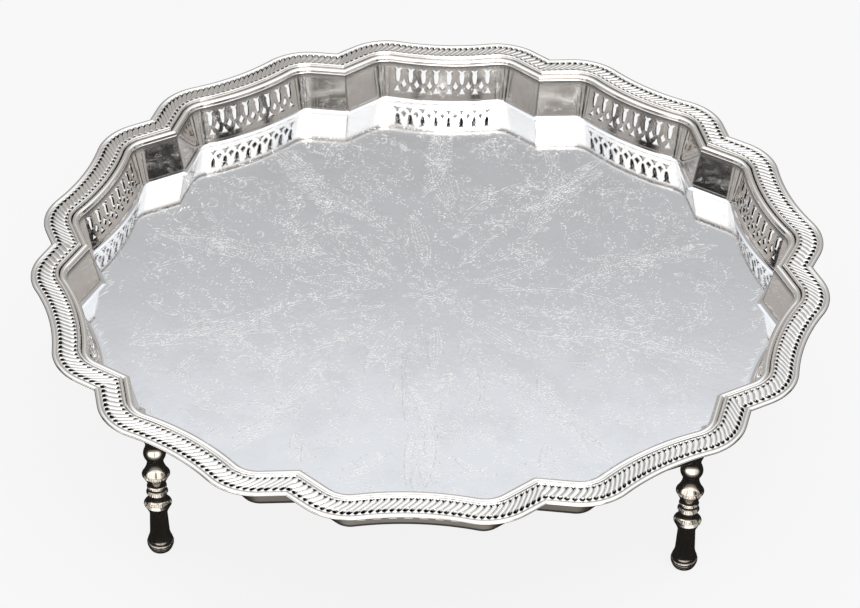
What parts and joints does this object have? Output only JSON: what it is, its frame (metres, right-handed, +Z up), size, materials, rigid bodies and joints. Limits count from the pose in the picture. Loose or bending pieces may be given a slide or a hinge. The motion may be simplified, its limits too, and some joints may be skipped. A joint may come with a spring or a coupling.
{
  "type": "footed gallery salver",
  "caption": "Round silver-plated serving tray with a scalloped, ribbed border and a low pierced gallery wall, standing on turned baluster legs that unscrew.",
  "frame": {"origin": "on the table, under the middle of the pan", "axes": "+Z up, through the middle of the pan; +X through a cusp of the scalloped outline"},
  "size_m": [0.4032, 0.4006, 0.1199],
  "materials": {
    "chased_silver": "silver plate, polished and chased",
    "wall_silver": "silver plate, polished",
    "border_silver": "silver plate, cast and polished, dark in the recesses",
    "leg_silver": "silver plate, turned and polished",
    "brass": "plain turned brass",
    "steel": "plain steel"
  },
  "bodies": {
    "tray": {"floor_plate": "chased_silver", "gallery_panel_1": "wall_silver", "gallery_panel_2": "wall_silver", "gallery_panel_3": "wall_silver", "gallery_panel_4": "wall_silver", "gallery_panel_5": "wall_silver", "gallery_panel_6": "wall_silver", "gallery_panel_7": "wall_silver", "gallery_panel_8": "wall_silver", "gallery_panel_9": "wall_silver", "gallery_panel_10": "wall_silver", "rim_section_1": "border_silver", "rim_section_2": "border_silver", "rim_section_3": "border_silver", "rim_section_4": "border_silver", "rim_section_5": "border_silver", "rim_section_6": "border_silver", "rim_section_7": "border_silver", "rim_section_8": "border_silver", "rim_section_9": "border_silver", "rim_section_10": "border_silver", "rim_moulding_1": "border_silver", "rim_moulding_2": "border_silver", "rim_moulding_3": "border_silver", "rim_moulding_4": "border_silver", "rim_moulding_5": "border_silver", "rim_moulding_6": "border_silver", "rim_moulding_7": "border_silver", "rim_moulding_8": "border_silver", "rim_moulding_9": "border_silver", "rim_moulding_10": "border_silver", "leg_boss_1": "brass", "leg_boss_2": "brass", "leg_boss_3": "brass", "leg_boss_4": "brass", "leg_stud_1": "steel", "leg_stud_2": "steel", "leg_stud_3": "steel", "leg_stud_4": "steel"},
    "washer_1": {"leg_washer_1": "steel"},
    "leg_1": {"leg_1": "leg_silver"},
    "washer_2": {"leg_washer_2": "steel"},
    "leg_2": {"leg_2": "leg_silver"},
    "washer_3": {"leg_washer_3": "steel"},
    "leg_3": {"leg_3": "leg_silver"},
    "washer_4": {"leg_washer_4": "steel"},
    "leg_4": {"leg_4": "leg_silver"}
  },
  "joints": [
    {"name": "washer_slide_1", "type": "slide", "parent": "tray", "child": "washer_1", "axis": [0, 0, -1], "range_m": [0, 0.008]},
    {"name": "leg_screw_1", "type": "hinge", "parent": "washer_1", "child": "leg_1", "pos_m": [0.13325, 0.09681, 0.0886], "axis": [0, 0, -1], "range_deg": [0, 2881]},
    {"name": "washer_slide_2", "type": "slide", "parent": "tray", "child": "washer_2", "axis": [0, 0, -1], "range_m": [0, 0.008]},
    {"name": "leg_screw_2", "type": "hinge", "parent": "washer_2", "child": "leg_2", "pos_m": [-0.13325, 0.09681, 0.0886], "axis": [0, 0, -1], "range_deg": [0, 2881]},
    {"name": "washer_slide_3", "type": "slide", "parent": "tray", "child": "washer_3", "axis": [0, 0, -1], "range_m": [0, 0.008]},
    {"name": "leg_screw_3", "type": "hinge", "parent": "washer_3", "child": "leg_3", "pos_m": [-0.13325, -0.09681, 0.0886], "axis": [0, 0, -1], "range_deg": [0, 2881]},
    {"name": "washer_slide_4", "type": "slide", "parent": "tray", "child": "washer_4", "axis": [0, 0, -1], "range_m": [0, 0.008]},
    {"name": "leg_screw_4", "type": "hinge", "parent": "washer_4", "child": "leg_4", "pos_m": [0.13325, -0.09681, 0.0886], "axis": [0, 0, -1], "range_deg": [0, 2881]}
  ],
  "couplings": [
    {"joint": "leg_screw_1", "follows": "washer_slide_1", "rad_per_m": 6283.2},
    {"joint": "leg_screw_2", "follows": "washer_slide_2", "rad_per_m": 6283.2},
    {"joint": "leg_screw_3", "follows": "washer_slide_3", "rad_per_m": 6283.2},
    {"joint": "leg_screw_4", "follows": "washer_slide_4", "rad_per_m": 6283.2}
  ]
}
